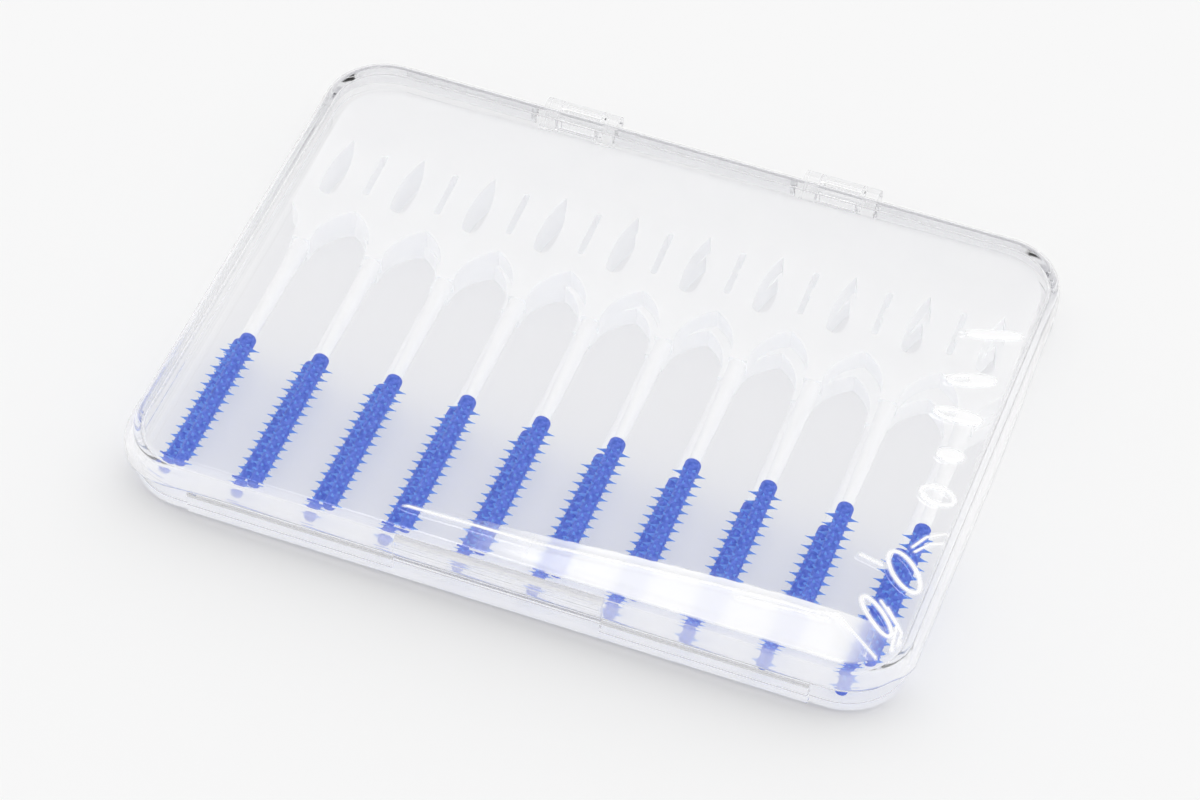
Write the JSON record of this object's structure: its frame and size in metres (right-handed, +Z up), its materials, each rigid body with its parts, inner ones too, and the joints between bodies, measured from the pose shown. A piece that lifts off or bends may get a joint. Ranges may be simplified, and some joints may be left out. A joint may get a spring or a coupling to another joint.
{
  "type": "interdental brush set in a hinged case",
  "caption": "Slim clear travel case with a hinged lid, holding stacked combs of joined soft interdental brushes with milky handles and blue rubber bristle tips.",
  "frame": {"origin": "under the middle of the whole object's box, on the surface that the case rests on", "axes": "+X along the front edge, +Y from the catch to the hinge, +Z up through the lid"},
  "size_m": [0.0824, 0.0662, 0.0071],
  "materials": {
    "clear_case": "clear polished",
    "clear_film": "clear wrinkled film",
    "pick_plastic": "milky satin",
    "bristle_rubber": "satin blue"
  },
  "bodies": {
    "case": {"case_base": "clear_case"},
    "lid": {"case_lid": "clear_case", "lid_film": "clear_film"},
    "upper_comb": {"upper_pick_comb": "pick_plastic", "upper_brush_tip_01": "bristle_rubber", "upper_brush_tip_02": "bristle_rubber", "upper_brush_tip_03": "bristle_rubber", "upper_brush_tip_04": "bristle_rubber", "upper_brush_tip_05": "bristle_rubber", "upper_brush_tip_06": "bristle_rubber", "upper_brush_tip_07": "bristle_rubber", "upper_brush_tip_08": "bristle_rubber", "upper_brush_tip_09": "bristle_rubber", "upper_brush_tip_10": "bristle_rubber"},
    "lower_comb": {"lower_pick_comb": "pick_plastic", "lower_brush_tip_01": "bristle_rubber", "lower_brush_tip_02": "bristle_rubber", "lower_brush_tip_03": "bristle_rubber", "lower_brush_tip_04": "bristle_rubber", "lower_brush_tip_05": "bristle_rubber", "lower_brush_tip_06": "bristle_rubber", "lower_brush_tip_07": "bristle_rubber", "lower_brush_tip_08": "bristle_rubber", "lower_brush_tip_09": "bristle_rubber", "lower_brush_tip_10": "bristle_rubber"}
  },
  "joints": [
    {"name": "lid_hinge", "type": "hinge", "parent": "case", "child": "lid", "pos_m": [0, 0.03155, 0.00352], "axis": [-1, 0, 0], "range_deg": [0, 180]},
    {"name": "upper_comb_slide", "type": "slide", "parent": "case", "child": "upper_comb", "axis": [1, 0, 0], "range_m": [-0.0014, 0.0004]},
    {"name": "lower_comb_slide", "type": "slide", "parent": "case", "child": "lower_comb", "axis": [1, 0, 0], "range_m": [-0.0009, 0.0004]}
  ]
}
